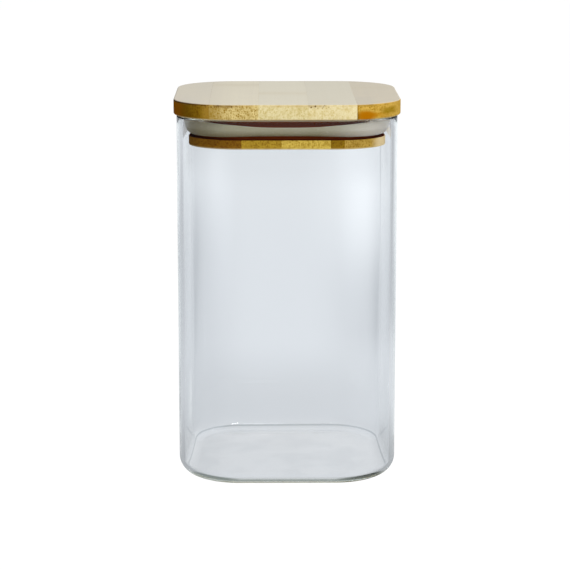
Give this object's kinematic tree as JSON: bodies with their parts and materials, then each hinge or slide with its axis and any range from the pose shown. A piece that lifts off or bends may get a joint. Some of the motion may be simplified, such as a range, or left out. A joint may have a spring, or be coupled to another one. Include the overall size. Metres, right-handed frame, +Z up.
{
  "type": "square glass storage jar with bamboo lid",
  "caption": "Tall square storage jar of clear glass with round corners, and a push-in lid of laminated bamboo whose plug carries a flared silicone seal.",
  "frame": {"origin": "middle of the jar's flat underside, on the surface that it stands on", "axes": "+Z up, towards the lid; +X to the right and -Y to the front as in the picture; the lid's staves run along Y"},
  "size_m": [0.1024, 0.1024, 0.1745],
  "materials": {
    "clear_glass": "clear, polished borosilicate glass with a faint cool tint",
    "silicone": "satin translucent grey-white silicone",
    "bamboo_honey": "sanded, lightly oiled bamboo, honey coloured",
    "bamboo_straw": "sanded, lightly oiled bamboo, straw coloured",
    "bamboo_pale": "sanded, lightly oiled bamboo, pale",
    "bamboo_amber": "sanded, lightly oiled bamboo, amber with an orange streak",
    "bamboo_dark": "sanded, lightly oiled bamboo, dark olive brown"
  },
  "bodies": {
    "jar": {"glass_jar": "clear_glass"},
    "lid": {"board_stave_1": "bamboo_honey", "board_stave_2": "bamboo_straw", "board_stave_3": "bamboo_pale", "board_stave_4": "bamboo_pale", "board_stave_5": "bamboo_amber", "plug_stave_1": "bamboo_honey", "plug_stave_2": "bamboo_honey", "plug_stave_3": "bamboo_honey", "plug_stave_4": "bamboo_dark", "plug_stave_5": "bamboo_honey", "silicone_seal": "silicone"}
  },
  "joints": [
    {"name": "lid_lift", "type": "slide", "parent": "jar", "child": "lid", "axis": [0, 0, 1], "range_m": [0, 0.06]}
  ]
}
